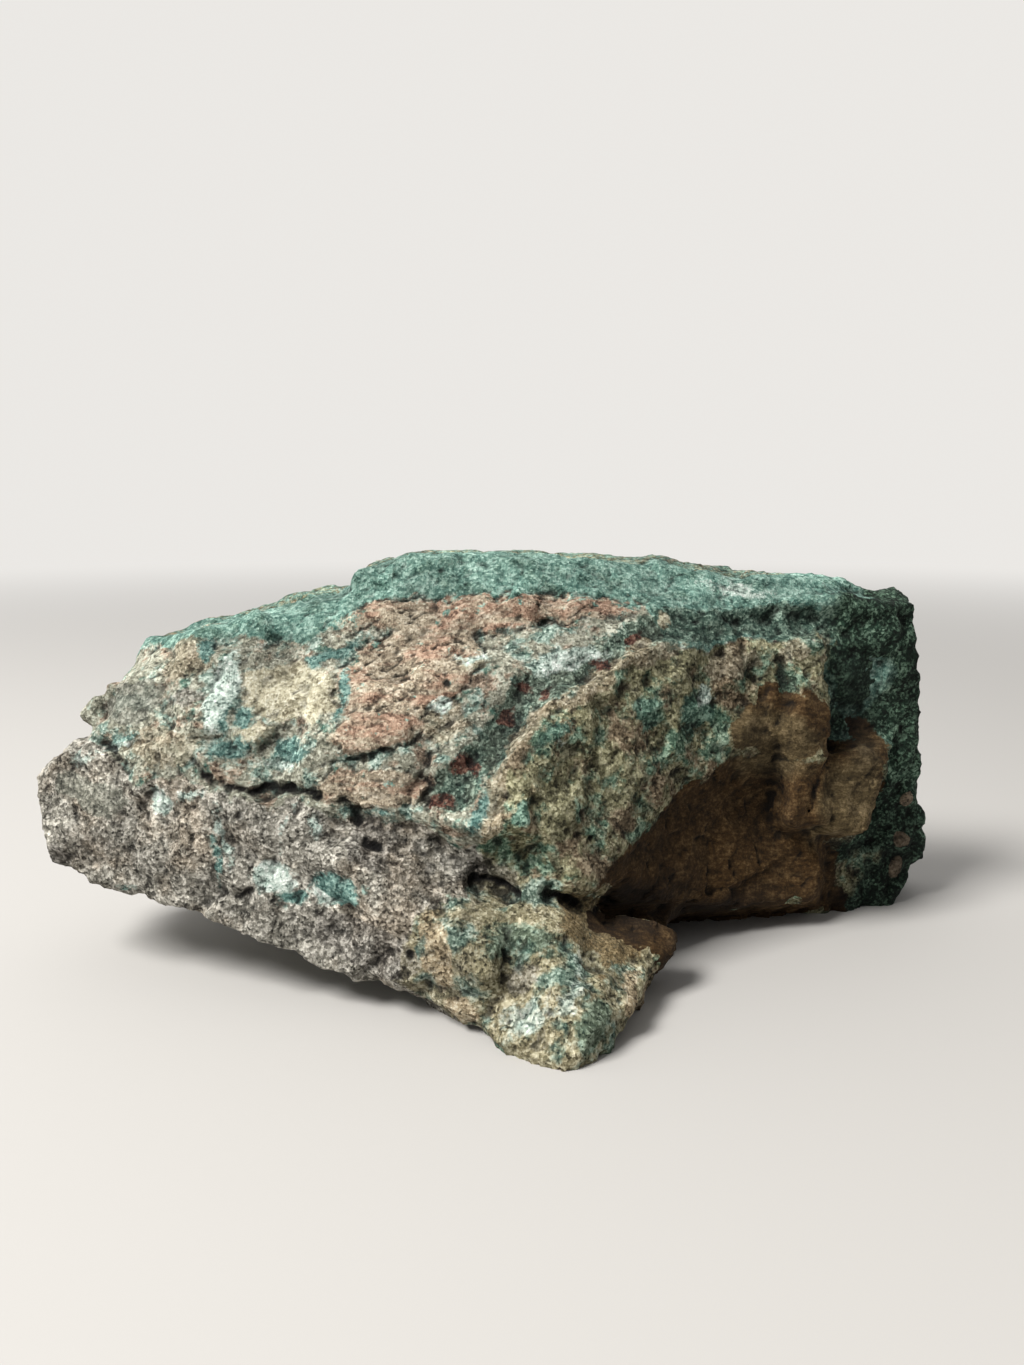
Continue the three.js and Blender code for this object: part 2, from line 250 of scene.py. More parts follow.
# The broken edge that runs along the whole front: under the shoulder, then up the rim of the break
# and along the top of it.
EDGE = [
    (-1.00, 0.60), (-0.84, 0.57), (-0.76, 0.49), (-0.64, 0.53), (-0.58, 0.48), (-0.43, 0.47), (-0.28, 0.43),
    (-0.17, 0.43), (-0.09, 0.37), (-0.05, 0.38), (-0.03, 0.50), (0.00, 0.57), (0.06, 0.65), (0.12, 0.67),
    (0.20, 0.74), (0.27, 0.78), (0.40, 0.77), (0.66, 0.79), (0.74, 0.82), (1.00, 0.90),
]
RIM = EDGE[9:16]  # the part of it that is the rim of the break
SKIN = [  # the lower edge of the green skin that covers the top
    (-1.00, 0.95), (-0.78, 0.76), (-0.62, 0.80), (-0.42, 0.79), (-0.32, 0.87), (-0.20, 0.90), (0.10, 0.895),
    (0.28, 0.87), (0.33, 0.76), (1.00, 0.76),
]
TROUGH = [  # the hollow that runs behind the rim
    (-0.12, 0.48), (-0.03, 0.60), (0.03, 0.69), (0.12, 0.73), (0.22, 0.79), (0.30, 0.83), (0.72, 0.82),
]
CRACKS = [  # each with its width and depth in millimetres
    (3.2, 4.6, [(-0.63, 0.54), (-0.58, 0.485), (-0.50, 0.47), (-0.43, 0.48), (-0.38, 0.47), (-0.31, 0.45),
                (-0.29, 0.38), (-0.25, 0.35)]),
    (2.2, 3.2, [(-0.87, 0.575), (-0.81, 0.545), (-0.78, 0.50)]),
    (3.6, 6.0, [(-0.08, 0.285), (-0.02, 0.27), (0.05, 0.265), (0.12, 0.22), (0.20, 0.18)]),
    (1.4, 1.8, [(-0.07, 0.70), (-0.11, 0.665), (-0.15, 0.64)]),
    (1.3, 1.6, [(-0.62, 0.50), (-0.55, 0.51), (-0.50, 0.49)]),
    (1.6, 2.4, [(-0.38, 0.53), (-0.28, 0.56), (-0.16, 0.60), (-0.11, 0.63)]),
    (2.2, 3.0, [(-0.155, 0.57), (-0.16, 0.45)]),
    (1.2, 1.6, [(-0.17, 0.72), (-0.20, 0.68), (-0.24, 0.67)]),
    (1.4, 1.8, [(-0.24, 0.86), (-0.21, 0.87), (-0.16, 0.88), (-0.155, 0.85)]),
    (1.2, 1.6, [(-0.05, 0.83), (-0.10, 0.80), (-0.17, 0.78)]),
    (1.2, 1.4, [(0.17, 0.88), (0.12, 0.84), (0.07, 0.835)]),
    (2.2, 3.0, [(0.71, 0.49), (0.67, 0.43), (0.65, 0.36), (0.63, 0.31)]),
    (1.4, 1.8, [(-0.62, 0.80), (-0.63, 0.76), (-0.66, 0.72), (-0.72, 0.71)]),
]

# The places above hold for what is seen from the front. These say how far round the stone they
# reach: millimetres behind its middle, or to the right of it where the name says so.
OUTSIDE = -9  # well outside whatever is asked for
EDGE_REACH = 35
FRONT_REACH = 50
END_REACH = 85
END_FROM_RIGHT = 150
BACK_FROM = 42
LOBE_REACH = -40
SMOOTH_REACH = -30
BREAK_FROM, BREAK_REACH = -58, 75
PAINTED_SHADOW_END_FROM_RIGHT = 160
GREEN_END_FROM_RIGHT, GREEN_END_REACH = 168, 45
FACE_FROM_RIGHT, FACE_REACH = -14, 60
BACK_LINE = 70  # how high the skin's lower edge is on the back
BACK_END = 188  # how far right the green end begins on the back
RAGGED, RAGGED_SIZE = 4, 15  # how far edges stray, and over what length


def ovals(p, rows):
    """How far inside the nearest oval each point is, in millimetres; outside it is negative."""
    depth = np.full(len(p), -1e3)
    for along, up, half_width, half_height, tilt in rows:
        x = p[:, 0] - along * HALF_LENGTH
        z = p[:, 2] - up * HEIGHT
        turn = np.radians(tilt)
        right = x * np.cos(turn) + z * np.sin(turn)
        above = z * np.cos(turn) - x * np.sin(turn)
        away = np.hypot(right / half_width, above / half_height)
        depth = np.maximum(depth, (1 - away) * min(half_width, half_height))
    return depth


def beside(p, path):
    """How far each point is from a line through such places, in millimetres, as seen from the front."""
    way = np.array(path) * (HALF_LENGTH, HEIGHT)
    flat = p[:, [0, 2]]
    nearest = np.full(len(p), 1e3)
    for start, end in zip(way[:-1], way[1:]):
        along = np.clip((flat - start) @ (end - start) / np.sum((end - start) ** 2), 0, 1)
        nearest = np.minimum(nearest, np.linalg.norm(flat - start - along[:, None] * (end - start), axis=1))
    return nearest


def lay_out():
    """Where everything is, for the surface as it is now: millimetres inside, or a share of 1."""
    p = read("co") / MM
    n = read("normal")
    stray = np.stack([rough(p, RAGGED_SIZE, 40 + axis, 4) for axis in range(3)], axis=1) * RAGGED
    ragged = p + stray
    little_ragged = p + stray * 0.3
    torn = p + stray * 0.55 + np.stack([rough(p, 5, 50 + axis) for axis in range(3)], axis=1) * 1.3
    x, y, z = ragged.T

    reach = np.where(x > END_FROM_RIGHT, END_REACH, FRONT_REACH)
    front = ramp(-n[:, 1] + 0.6 * n[:, 2], -0.15, 0.15) * (y < reach) > 0.5
    forward = (y < FRONT_REACH) & (n[:, 1] < 0.35)
    back = (y > BACK_FROM) & (n[:, 1] > 0)

    def patch(rows, places=ragged, seen=front):
        return np.where(seen, ovals(places, rows), OUTSIDE)

    def line(path, width, places=ragged):
        return np.where(front, width - beside(places, path), OUTSIDE)

    def height_of(path):
        along, up = (np.array(path) * (HALF_LENGTH, HEIGHT)).T
        return np.interp(x, along, up)

    back_line = BACK_LINE + 60 * lumps(p, 110, 90) + 22 * lumps(p, 38, 93)
    above = np.where(y < EDGE_REACH, z - height_of(EDGE), z - back_line)
    gravel = np.where(y < EDGE_REACH, np.minimum(above + 4, height_of(SKIN) - z), OUTSIDE)
    back_plates = 26 * lumps(p, 62, 95) + 6 * lumps(p, 17, 96) - 8
    back_bloom = 22 * lumps(p, 48, 97) + 8 * lumps(p, 15, 98) - 9

    angular = cells(little_ragged, 17, 61)[2][:, 0] * 12 - 6
    clean = np.where(y > BREAK_FROM, patch(BREAK, little_ragged, forward) + angular, OUTSIDE)
    clean = np.minimum(clean, (BREAK_REACH - y) * 0.5)
    pale_break = np.where(y > BREAK_FROM, patch(PALE_BREAK, ragged, forward) + angular * 0.5, OUTSIDE)
    end_in_front = -np.maximum(clean, GREEN_END_FROM_RIGHT - x)
    end_behind = x - BACK_END - 44 * lumps(p, 40, 91)
    cracks = [line(path, width, torn) / width * depth for width, depth, path in CRACKS]
    return {
        "above": above,
        "gravel": gravel,
        "plate": np.where(back, back_plates, patch(PLATES)),
        "tan": patch(TAN),
        "cream": patch(CREAM),
        "teal": patch(TEAL),
        "bloom": np.where(back, back_bloom, patch(BLOOM)),
        "grey": patch(GREY),
        "dark": patch(DARK),
        "trough": np.minimum(line(TROUGH, 8), above + 2),
        "rim": line(RIM, 3),
        "rust": patch(RUST),
        "fresh": clean,
        "pale_break": pale_break,
        "painted_shadow": patch(PAINTED_SHADOWS, ragged, forward | (x > PAINTED_SHADOW_END_FROM_RIGHT)),
        "lobe": np.where(y < LOBE_REACH, patch(LOBE), OUTSIDE),
        "smooth": np.where(y < SMOOTH_REACH, patch(SMOOTH), OUTSIDE),
        "knobs": patch(KNOBS, p + stray * 0.6),
        "holes": patch(HOLES, little_ragged),
        "crack": np.clip(np.max(cracks, axis=0), 0, None) * ramp(lumps(p, 9, 77), -0.6, 0.2),
        "right_end": np.where(y < GREEN_END_REACH, end_in_front, end_behind),
        "face": np.minimum(np.where(y < FACE_REACH, -above, OUTSIDE), x - FACE_FROM_RIGHT) * front,
        "places": p,
    }


# ---- The stone: its larger breaks -------------------------------------------------------------
# The rock is lumpy and chipped, and the clean break has facets. Plates of crust and the rim stand
# up from it, the trough behind the rim is hollow, and cracks and holes go into it. These are
# pushed out and in first, and the faces are then made even again.

PLATE_RISE = 1.3
NODULE_RISE = 1.2
RIM_RISE = 2.4
KNOB_RISE = 4.0
TROUGH_DEPTH = 3.6
HOLE_DEPTH = 5

at = lay_out()
p = at["places"]
clean = ramp(at["fresh"], -3, 6)
end = ramp(at["right_end"], -4, 8)
smooth_rock = ramp(np.maximum(at["grey"], at["smooth"]), -1, 5)
height = rough(p, 34, 1) * (0.9 - 0.75 * clean) * (1 - 0.6 * smooth_rock)
height += chips(p, 24, 2, 0.20) * (1 - clean) * (1 - 0.7 * smooth_rock)
height += facets(p, 60, 8, 0.07) * clean
height += facets(p, 34, 9, 0.11) * ramp(at["pale_break"], -1, 2) * clean
height += facets(p, 19, 10, 0.14) * ramp(at["face"], -1, 3) * (1 - clean)
height += NODULE_RISE * ramp(at["rust"], -1, 2)
height += PLATE_RISE * ramp(at["plate"], -1, 1.5)
height += RIM_RISE * ramp(at["rim"], -2, 2.5) * ramp(lumps(p, 15, 79), -0.35, 0.35)
height += KNOB_RISE * ramp(at["knobs"], -1, 3)
height += 2.2 * end * np.abs(rough(p, 18, 5)) - 0.6 * end
height -= TROUGH_DEPTH * ramp(at["trough"], -1, 5)
height -= HOLE_DEPTH * ramp(at["holes"], -0.5, 1.5)
height -= at["crack"]
push(height)
apply("REMESH", mode="VOXEL", voxel_size=FINE_FACE * MM)

# ---- The stone: its fine breaks ---------------------------------------------------------------
# The bare basalt is grainy and full of small pits, the crust lies in low shingles, the green skin
# is a felt of grains, and the clean break is nearly smooth.

SHINGLE = 9
SHINGLE_STEP = 1.0
SHINGLE_GAP = 0.9
GROOVE_ROUND_PLATE = 1.0
PIT, PIT_DEPTH, CRUST_PIT_DEPTH = 4.0, 1.1, 1.6
LIES_FLAT = 2.0  # what is lower than this is laid on the floor
INSIDE_BOX = 0.05  # and the stone stays this far inside the solid's own size

at = lay_out()
p = at["places"]
clean = ramp(at["fresh"], -3, 4)
end = ramp(at["right_end"], -4, 8)
plate = ramp(at["plate"], -0.5, 1.5)
skin = ramp(at["above"], -1, 2) * (1 - plate) * (1 - clean)
bare = ramp(-at["above"], -1, 2) * (1 - clean)
even = 1 - 0.7 * ramp(np.maximum(at["grey"], at["smooth"]), -1, 5)
fine = rough(p, 8, 11) * (0.34 * bare + 0.34 * skin + 0.14 * plate + 0.08 * clean) * even
fine += rough(p, 4.2, 14) * (0.60 * bare + 0.52 * skin + 0.25 * plate + 0.05 * clean) * even
fine += chips(p, 10, 12, 0.3) * (0.40 * bare + 0.30 * skin + 0.30 * clean) * even
fine += facets(p, 13, 19, 0.10) * clean
fine += np.abs(rough(p, 7, 17)) * 0.9 * end

slanted = np.stack([p[:, 0] * 0.45 - p[:, 2] * 0.2, p[:, 1], p[:, 2] * 0.9 - p[:, 0] * 0.35], axis=1)
_, gap, own_level = cells(slanted, SHINGLE, 13)
fine += (own_level[:, 0] - 0.5) * SHINGLE_STEP * plate + chips(slanted, 4, 18, 0.3) * 0.3 * plate
fine -= SHINGLE_GAP * ramp(-gap, -0.9, 0) * (own_level[:, 1] < 0.4) * plate
fine -= GROOVE_ROUND_PLATE * (ramp(at["plate"], -2.2, -0.6) - ramp(at["plate"], -0.6, 0.2))
fine -= PIT_DEPTH * pits(p, 9, 15, 0.4, PIT) * (bare + 0.6 * skin) * even
fine -= CRUST_PIT_DEPTH * pits(p, 30, 16, 0.25, PIT) * plate
fine -= 0.35 * at["crack"]
push(fine)

places = read("co") / MM
places[:, 2] = np.where(places[:, 2] < LIES_FLAT, 0, places[:, 2])
places = np.clip(places, low_corner + INSIDE_BOX * (low_corner < 0), high_corner - INSIDE_BOX)
stone.data.vertices.foreach_set("co", (places * MM).ravel())
stone.data.update()


def hollowness(rounds, reach=0.7):
    """How deep each vertex lies under its neighbourhood, in millimetres: cracks and pits are above 0."""
    edges = np.empty(len(stone.data.edges) * 2, np.int64)
    stone.data.edges.foreach_get("vertices", edges)
    a, b = edges.reshape(-1, 2).T
    count = np.bincount(np.concatenate([a, b]), minlength=len(stone.data.vertices))[:, None]
    here = read("co") / MM
    around = here.copy()
    for _ in range(rounds):
        total = np.zeros_like(around)
        np.add.at(total, a, around[b])
        np.add.at(total, b, around[a])
        around += reach * (total / np.maximum(count, 1) - around)
    return np.sum((around - here) * read("normal"), axis=1)


at = lay_out()
at["small_hollow"] = hollowness(3)
at["large_hollow"] = hollowness(24)
del at["places"]
for name, values in at.items():
    layer = stone.data.attributes.new(name, "FLOAT", "POINT")
    layer.data.foreach_set("value", values.astype(np.float32))
bpy.ops.object.shade_smooth_by_angle(angle=np.radians(24))

# ---- The stone: its look ----------------------------------------------------------------------
# Dark basalt, with green skin, crust, bloom and rust laid over it in turn. Each is a mix of a dark,
# a middle and a light tone, picked grain by grain, and the rock is never shiny. Shade is painted
# into its cracks, pits, hollows and break, and under the rock that overhangs.

DARK_AT, MIDDLE_AT, LIGHT_AT = 0.385, 0.5, 0.65  # the tones at which a colour is dark or light
GRAIN = 1.25
GRAIN_HEIGHT = 1.0
ROUGHNESS = 0.9
SHINE = 0.25
PAINTED_SHADE_BLACK = (0.010, 0.008, 0.006, 1)
GREEN_SHADE = (0.004, 0.010, 0.007, 1)
BROWN_SHADE = (0.006, 0.004, 0.003, 1)

rock = bpy.data.materials.new("rock")
rock.use_nodes = True
nodes = rock.node_tree.nodes
links = rock.node_tree.links
nodes.clear()


def add(kind, out=0, settings=None, **inputs):
    """Adds a node, sets or links its inputs by number (i0, i1 ...) or name, and gives an output."""
    node = nodes.new(kind)
    for name, value in (settings or {}).items():
        setattr(node, name, value)
    for name, value in inputs.items():
        socket = node.inputs[int(name[1:]) if name[1:].isdigit() else name]
        if isinstance(value, bpy.types.NodeSocket):
            links.new(value, socket)
        else:
            socket.default_value = value
    return node.outputs[out]


def math(operation, *values):
    """One sum, product or other operation on numbers or sockets."""
    inputs = {f"i{number}": value for number, value in enumerate(values)}
    return add("ShaderNodeMath", settings={"operation": operation}, **inputs)


def rise(value, low, high):
    """0 below low, 1 above high."""
    return add("ShaderNodeMapRange", i0=value, i1=low, i2=high, i3=0.0, i4=1.0)


def attribute(name):
    """What lay_out wrote on the stone under this name."""
    return add("ShaderNodeAttribute", out=2, settings={"attribute_name": name})


place = add("ShaderNodeTexCoord", out=3)


def noise(size, detail=4.0, roughness=0.6, where=place):
    """Soft random tone from 0 to 1, about `size` millimetres across."""
    return add("ShaderNodeTexNoise", Vector=where, Scale=1 / (size * MM), Detail=detail, Roughness=roughness)


def stretched(turn, squeeze):
    """Places in which a noise runs out into streaks, turned by so many degrees seen from the front."""
    return add("ShaderNodeMapping", i0=place, i2=(0, np.radians(turn), 0), i3=(squeeze, 1.0, 1.0))


def patches(size, low, high, detail=5.0, roughness=0.65):
    """Ragged patches about `size` millimetres across, more of them the lower the two limits are."""
    return rise(noise(size, detail, roughness), low, high)


def three_tones(tone, dark, middle, light):
    """A colour from dark to light by a tone from 0 to 1."""
    node = nodes.new("ShaderNodeValToRGB")
    links.new(tone, node.inputs[0])
    stops = node.color_ramp.elements
    stops[0].position, stops[0].color = DARK_AT, (*dark, 1)
    stops[1].position, stops[1].color = LIGHT_AT, (*light, 1)
    stops.new(MIDDLE_AT).color = (*middle, 1)
    return node.outputs[0]


def lay(under, over, share):
    """Lays one colour over another."""
    return add("ShaderNodeMix", out=2, settings={"data_type": "RGBA"}, i0=share, i6=under, i7=over)


# Each grain has a tone of its own, and so have small and larger clouds of grains.
grains = nodes.new("ShaderNodeTexVoronoi")
links.new(place, grains.inputs["Vector"])
grains.inputs["Scale"].default_value = 1 / (GRAIN * MM)
grain_tone = add("ShaderNodeSeparateColor", out=0, i0=grains.outputs["Color"])
cloud = noise(2.4, 6.0, 0.72)
gritty = noise(8.0, 6.0, 0.68)
tone = math("ADD", math("MULTIPLY", grain_tone, 0.16), math("MULTIPLY", cloud, 0.42))
tone = math("ADD", tone, math("MULTIPLY", gritty, 0.42))
edge = math("MULTIPLY", math("SUBTRACT", noise(3.2, 5.0, 0.7), 0.5), 7.0)


def share_of(name, fullness=1.0, soft=0.7):
    """How much of a point the thing covers, with a crumbly edge."""
    inside = rise(math("ADD", attribute(name), edge), -soft, soft)
    return math("MULTIPLY", inside, fullness)


def mottled(name, fullness, size):
    """The same, broken up by spots about `size` millimetres across."""
    return math("ADD", share_of(name, fullness, 2.5), math("SUBTRACT", noise(size, 5.0, 0.7), 0.5))


# The bare basalt, browner in places.
basalt = three_tones(tone, (0.022, 0.020, 0.016), (0.222, 0.212, 0.178), (0.74, 0.71, 0.63))
brown_basalt = three_tones(tone, (0.022, 0.016, 0.011), (0.195, 0.168, 0.128), (0.64, 0.57, 0.47))
colour = lay(basalt, brown_basalt, patches(34, 0.46, 0.60))

# The green skin above the broken edge, and the gravelly rock between the edge and the skin.
green = three_tones(tone, (0.036, 0.092, 0.077), (0.145, 0.260, 0.215), (0.44, 0.61, 0.53))
dark_green = three_tones(tone, (0.010, 0.034, 0.026), (0.058, 0.120, 0.092), (0.27, 0.40, 0.32))
green = lay(green, dark_green, patches(13, 0.50, 0.64, 6.0, 0.7))
colour = lay(colour, green, share_of("above"))
gravel = three_tones(tone, (0.062, 0.064, 0.048), (0.250, 0.250, 0.192), (0.60, 0.61, 0.51))
mint_gravel = three_tones(tone, (0.025, 0.050, 0.042), (0.190, 0.270, 0.225), (0.62, 0.72, 0.64))
brown_gravel = three_tones(tone, (0.040, 0.026, 0.018), (0.230, 0.175, 0.125), (0.58, 0.48, 0.38))
gravel = lay(gravel, mint_gravel, patches(13, 0.50, 0.58))
gravel = lay(gravel, brown_gravel, patches(15, 0.54, 0.62))
gravel = lay(gravel, dark_green, patches(11, 0.57, 0.66))
colour = lay(colour, gravel, share_of("gravel"))

# The olive face under the rim.
face = three_tones(tone, (0.026, 0.025, 0.012), (0.195, 0.187, 0.105), (0.54, 0.52, 0.35))
face_green = three_tones(tone, (0.010, 0.030, 0.019), (0.092, 0.158, 0.107), (0.44, 0.58, 0.44))
face_brown = three_tones(tone, (0.026, 0.018, 0.009), (0.165, 0.125, 0.078), (0.50, 0.42, 0.29))
dark_face = three_tones(tone, (0.012, 0.012, 0.006), (0.070, 0.068, 0.040), (0.34, 0.33, 0.22))
face = lay(face, face_green, patches(19, 0.48, 0.56))
face = lay(face, face_brown, patches(27, 0.50, 0.58))
face = lay(face, dark_face, patches(12, 0.55, 0.64))
colour = lay(colour, face, share_of("face"))

# Smooth grey rock, dark rock and tan rock.
grey = three_tones(tone, (0.040, 0.042, 0.035), (0.155, 0.160, 0.130), (0.42, 0.42, 0.36))
colour = lay(colour, grey, share_of("grey", 0.85))
dark_rock = three_tones(tone, (0.015, 0.013, 0.011), (0.085, 0.078, 0.068), (0.40, 0.38, 0.34))
colour = lay(colour, dark_rock, share_of("dark", 0.7))
tan = three_tones(tone, (0.034, 0.026, 0.015), (0.215, 0.185, 0.125), (0.62, 0.56, 0.43))
colour = lay(colour, tan, share_of("tan", 0.8))

# The crust's plates, streaked pink, with some green on them.
crust = three_tones(tone, (0.090, 0.070, 0.050), (0.320, 0.268, 0.192), (0.66, 0.59, 0.47))
pinker = three_tones(tone, (0.076, 0.042, 0.030), (0.285, 0.180, 0.124), (0.54, 0.39, 0.29))
crust = lay(crust, pinker, rise(noise(9, 5.0, 0.65, stretched(-24, 0.30)), 0.47, 0.60))
crust = lay(crust, green, patches(9, 0.61, 0.67, 5.0, 0.7))
colour = lay(colour, crust, share_of("plate", 0.97))

# Green that shows through, leaf-green on the olive face.
bright_green = three_tones(tone, (0.012, 0.040, 0.036), (0.085, 0.170, 0.150), (0.36, 0.52, 0.46))
leaf_green = three_tones(tone, (0.008, 0.024, 0.018), (0.055, 0.112, 0.082), (0.30, 0.44, 0.35))
bright_green = lay(bright_green, leaf_green, share_of("face"))
green_spots = rise(mottled("teal", 0.85, 5), 0.30, 0.62)
colour = lay(colour, bright_green, green_spots)

# The trough, the cream crust, the rim and the rust-brown nodules.
# Painted shade: the trough is a darker green than the skin, partly its own and partly the shade under the
# slab.
trough = three_tones(tone, (0.004, 0.012, 0.009), (0.050, 0.086, 0.064), (0.34, 0.45, 0.36))
colour = lay(colour, trough, share_of("trough", 0.85))
cream = three_tones(tone, (0.150, 0.132, 0.084), (0.440, 0.410, 0.292), (0.72, 0.69, 0.56))
colour = lay(colour, cream, share_of("cream", 0.94))
rim = three_tones(tone, (0.045, 0.034, 0.020), (0.270, 0.220, 0.142), (0.68, 0.60, 0.46))
colour = lay(colour, rim, share_of("rim", 0.75))
rust = three_tones(tone, (0.006, 0.002, 0.002), (0.068, 0.026, 0.018), (0.26, 0.15, 0.11))
colour = lay(colour, rust, math("MULTIPLY", share_of("rust"), rise(cloud, 0.34, 0.44)))

# The lobe, with its own dark, tan and green places.
lobe = three_tones(tone, (0.024, 0.022, 0.012), (0.255, 0.228, 0.136), (0.64, 0.60, 0.44))
lobe_green = three_tones(tone, (0.012, 0.032, 0.025), (0.110, 0.172, 0.135), (0.50, 0.62, 0.53))
lobe_tan = three_tones(tone, (0.060, 0.042, 0.022), (0.430, 0.340, 0.215), (0.80, 0.71, 0.54))
lobe = lay(lobe, lobe_green, patches(17, 0.50, 0.60, 4.0, 0.6))
colour = lay(colour, lobe, share_of("lobe", 0.9))
colour = lay(colour, dark_rock, math("MULTIPLY", share_of("dark", 0.6), share_of("lobe")))
colour = lay(colour, lobe_tan, math("MULTIPLY", share_of("tan", 0.85), share_of("lobe")))
colour = lay(colour, bright_green, math("MULTIPLY", green_spots, share_of("lobe", 0.7)))

# Pale bloom, thinner on the lobe, and then the lobe's clean right face.
bloom = three_tones(tone, (0.070, 0.105, 0.090), (0.430, 0.530, 0.470), (0.86, 0.91, 0.86))
less_on_lobe = math("SUBTRACT", 1.0, share_of("lobe", 0.4))
bloom_spots = rise(mottled("bloom", 0.80, 4), 0.40, 0.72)
colour = lay(colour, bloom, math("MULTIPLY", bloom_spots, less_on_lobe))
fine_grain = noise(1.4, 5.0, 0.7)
smooth = three_tones(fine_grain, (0.036, 0.026, 0.011), (0.125, 0.088, 0.040), (0.32, 0.25, 0.14))
colour = lay(colour, smooth, share_of("smooth", 0.9))

# The deep green right end: its own dark green, darkened further as painted shade.
deep_green = three_tones(tone, (0.001, 0.004, 0.002), (0.007, 0.021, 0.012), (0.14, 0.23, 0.16))
end_green = three_tones(tone, (0.004, 0.013, 0.008), (0.030, 0.068, 0.044), (0.32, 0.45, 0.34))
deep_green = lay(deep_green, end_green, patches(24, 0.55, 0.68))
# Painted shadow: nearly black where the rock above shades the right end.
deep_green = lay(deep_green, GREEN_SHADE, share_of("painted_shadow", 0.65, 8.0))
colour = lay(colour, deep_green, rise(math("ADD", attribute("right_end"), edge), -6.0, 6.0))

# The clean break, finely scored, and paler on its flake and its block.
scores = noise(2.2, 5.0, 0.7, stretched(-50, 0.22))
fresh_tone = math("ADD", math("MULTIPLY", fine_grain, 0.30), math("MULTIPLY", gritty, 0.32))
fresh_tone = math("ADD", fresh_tone, math("MULTIPLY", scores, 0.38))
# Painted shade: the break's own dark brown is made darker still, for the shade it lies in.
fresh = three_tones(fresh_tone, (0.010, 0.005, 0.001), (0.046, 0.024, 0.007), (0.175, 0.112, 0.050))
pale_fresh = three_tones(fresh_tone, (0.018, 0.012, 0.005), (0.094, 0.069, 0.032), (0.30, 0.23, 0.130))
fresh = lay(fresh, pale_fresh, share_of("pale_break", 0.85, 4.0))
# Painted shadow: nearly black where the rock above shades the break.
fresh = lay(fresh, BROWN_SHADE, share_of("painted_shadow", 0.8, 5.0))
colour = lay(colour, fresh, share_of("fresh"))

# The knobs, and the insides of cracks and holes, painted black as painted shade.
knob_tone = three_tones(tone, (0.05, 0.04, 0.03), (0.17, 0.13, 0.09), (0.32, 0.26, 0.19))
colour = lay(colour, knob_tone, rise(attribute("knobs"), -0.2, 0.4))
colour = lay(colour, PAINTED_SHADE_BLACK, rise(attribute("crack"), 0.8, 3.2))
colour = lay(colour, PAINTED_SHADE_BLACK, rise(attribute("holes"), -0.3, 0.8))

# Painted shade darkens pits, cracks and larger hollows; the whole drifts a little from dark to light.
painted_pit_shade = math("SUBTRACT", 1.0, math("MULTIPLY", rise(attribute("small_hollow"), 0.02, 0.55), 0.78))
painted_hollow_shade = math("SUBTRACT", 1.0, math("MULTIPLY", rise(attribute("large_hollow"), 0.1, 3.2), 0.62))
drift = add("ShaderNodeMapRange", i0=noise(48, 4.0, 0.6), i1=0.34, i2=0.66, i3=0.66, i4=1.26)
# light holds the painted shade of pits and hollows, and the drift.
light = math("MULTIPLY", math("MULTIPLY", painted_pit_shade, painted_hollow_shade), drift)
shaded = add("ShaderNodeVectorMath", settings={"operation": "SCALE"}, i0=colour, Scale=light)

grain_shape = math("MULTIPLY", grains.outputs["Distance"], 0.5)
grain_height = math("ADD", math("MULTIPLY", cloud, 1.3), grain_shape)
bump_strength = math("SUBTRACT", 1.0, share_of("fresh", 0.40))
bump = add("ShaderNodeBump", Strength=bump_strength, Distance=GRAIN_HEIGHT * MM, Height=grain_height)
surface = add("ShaderNodeBsdfPrincipled", **{"Base Color": shaded, "Roughness": ROUGHNESS, "Normal": bump})
surface.node.inputs["Specular IOR Level"].default_value = SHINE
links.new(surface, nodes.new("ShaderNodeOutputMaterial").inputs["Surface"])

stone.data.materials.clear()
stone.data.materials.append(rock)
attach(stone, "root")
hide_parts("rock")

# ---- The floor and the light ------------------------------------------------------------------
# A wide pale floor that fades into pale surroundings. They are bright at the left and behind, and
# dim at the right and in front, and one soft light stands at the upper left, in front of the
# stone, so that the break lies in shade.

PALE = (0.83, 0.81, 0.78, 1)
PAPER = (0.43, 0.42, 0.405, 1)
SKY = (1.0, 0.985, 0.965, 1)
FLOOR_RADIUS = 30
FADES_FROM, FADES_TO = 0.5, 3.5
DIMMEST, BRIGHTEST = 0.14, 0.92
WINDOW_PLACE = (-1.55, -1.05, 2.35)
WINDOW_TURN = (32, 0, -56)
WINDOW_SIZE = 1.1
WINDOW_POWER = 150
WINDOW_COLOUR = (1.0, 0.98, 0.95)

bpy.ops.object.select_all(action="DESELECT")
bpy.ops.mesh.primitive_circle_add(vertices=96, radius=FLOOR_RADIUS, fill_type="NGON", location=(0, 0, 0))
floor = bpy.context.object
floor.name = "floor"
paper = bpy.data.materials.new("paper")
paper.use_nodes = True
sheet = paper.node_tree
matt = sheet.nodes["Principled BSDF"]
matt.inputs["Base Color"].default_value = PAPER
matt.inputs["Roughness"].default_value = 0.9
where = sheet.nodes.new("ShaderNodeTexCoord")
far = sheet.nodes.new("ShaderNodeVectorMath")
far.operation = "LENGTH"
fade = sheet.nodes.new("ShaderNodeMapRange")
fade.interpolation_type = "SMOOTHSTEP"
fade.inputs["From Min"].default_value = FADES_FROM
fade.inputs["From Max"].default_value = FADES_TO
glow = sheet.nodes.new("ShaderNodeEmission")
glow.inputs["Color"].default_value = PALE
blend = sheet.nodes.new("ShaderNodeMixShader")
sheet.links.new(where.outputs["Object"], far.inputs[0])
sheet.links.new(far.outputs["Value"], fade.inputs["Value"])
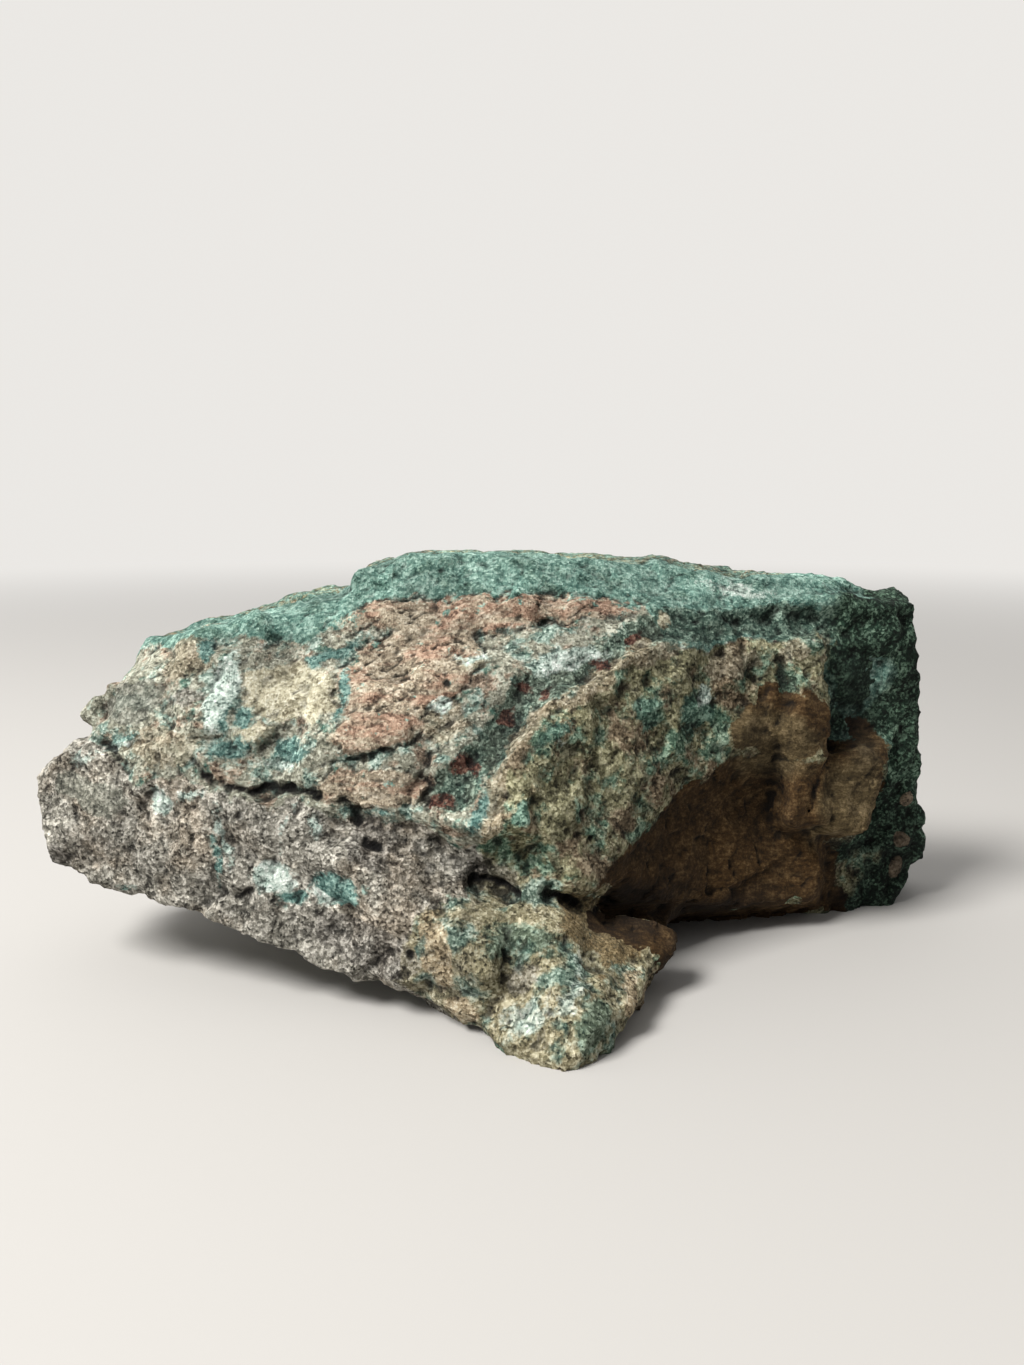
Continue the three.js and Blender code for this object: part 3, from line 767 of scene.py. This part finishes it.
sheet.links.new(fade.outputs["Result"], blend.inputs[0])
sheet.links.new(matt.outputs[0], blend.inputs[1])
sheet.links.new(glow.outputs[0], blend.inputs[2])
sheet.links.new(blend.outputs[0], sheet.nodes["Material Output"].inputs["Surface"])
floor.data.materials.append(paper)

# The light on the stone comes by direction, while what is seen behind it is evenly pale.
surroundings = bpy.data.worlds.new("room")
surroundings.use_nodes = True
room = surroundings.node_tree
way = room.nodes.new("ShaderNodeTexCoord")
apart = room.nodes.new("ShaderNodeSeparateXYZ")
left_and_behind = room.nodes.new("ShaderNodeMath")
left_and_behind.operation = "MULTIPLY_ADD"
left_and_behind.inputs[1].default_value = -0.6
bright = room.nodes.new("ShaderNodeMapRange")
bright.inputs["From Min"].default_value = -0.9
bright.inputs["From Max"].default_value = 0.6
bright.inputs["To Min"].default_value = DIMMEST
bright.inputs["To Max"].default_value = BRIGHTEST
lighting = room.nodes["Background"]
lighting.inputs["Color"].default_value = SKY
seen = room.nodes.new("ShaderNodeBackground")
seen.inputs["Color"].default_value = PALE
ray = room.nodes.new("ShaderNodeLightPath")
either = room.nodes.new("ShaderNodeMixShader")
room.links.new(way.outputs["Generated"], apart.inputs[0])
room.links.new(apart.outputs["X"], left_and_behind.inputs[0])
room.links.new(apart.outputs["Y"], left_and_behind.inputs[2])
room.links.new(left_and_behind.outputs[0], bright.inputs["Value"])
room.links.new(bright.outputs[0], lighting.inputs["Strength"])
room.links.new(ray.outputs["Is Camera Ray"], either.inputs[0])
room.links.new(lighting.outputs[0], either.inputs[1])
room.links.new(seen.outputs[0], either.inputs[2])
room.links.new(either.outputs[0], room.nodes["World Output"].inputs["Surface"])
bpy.context.scene.world = surroundings

bpy.ops.object.light_add(type="AREA", location=WINDOW_PLACE)
window = bpy.context.object
window.data.size = WINDOW_SIZE
window.data.energy = WINDOW_POWER
window.data.color = WINDOW_COLOUR
window.rotation_euler = [np.radians(angle) for angle in WINDOW_TURN]
bpy.context.scene.view_settings.view_transform = "Standard"
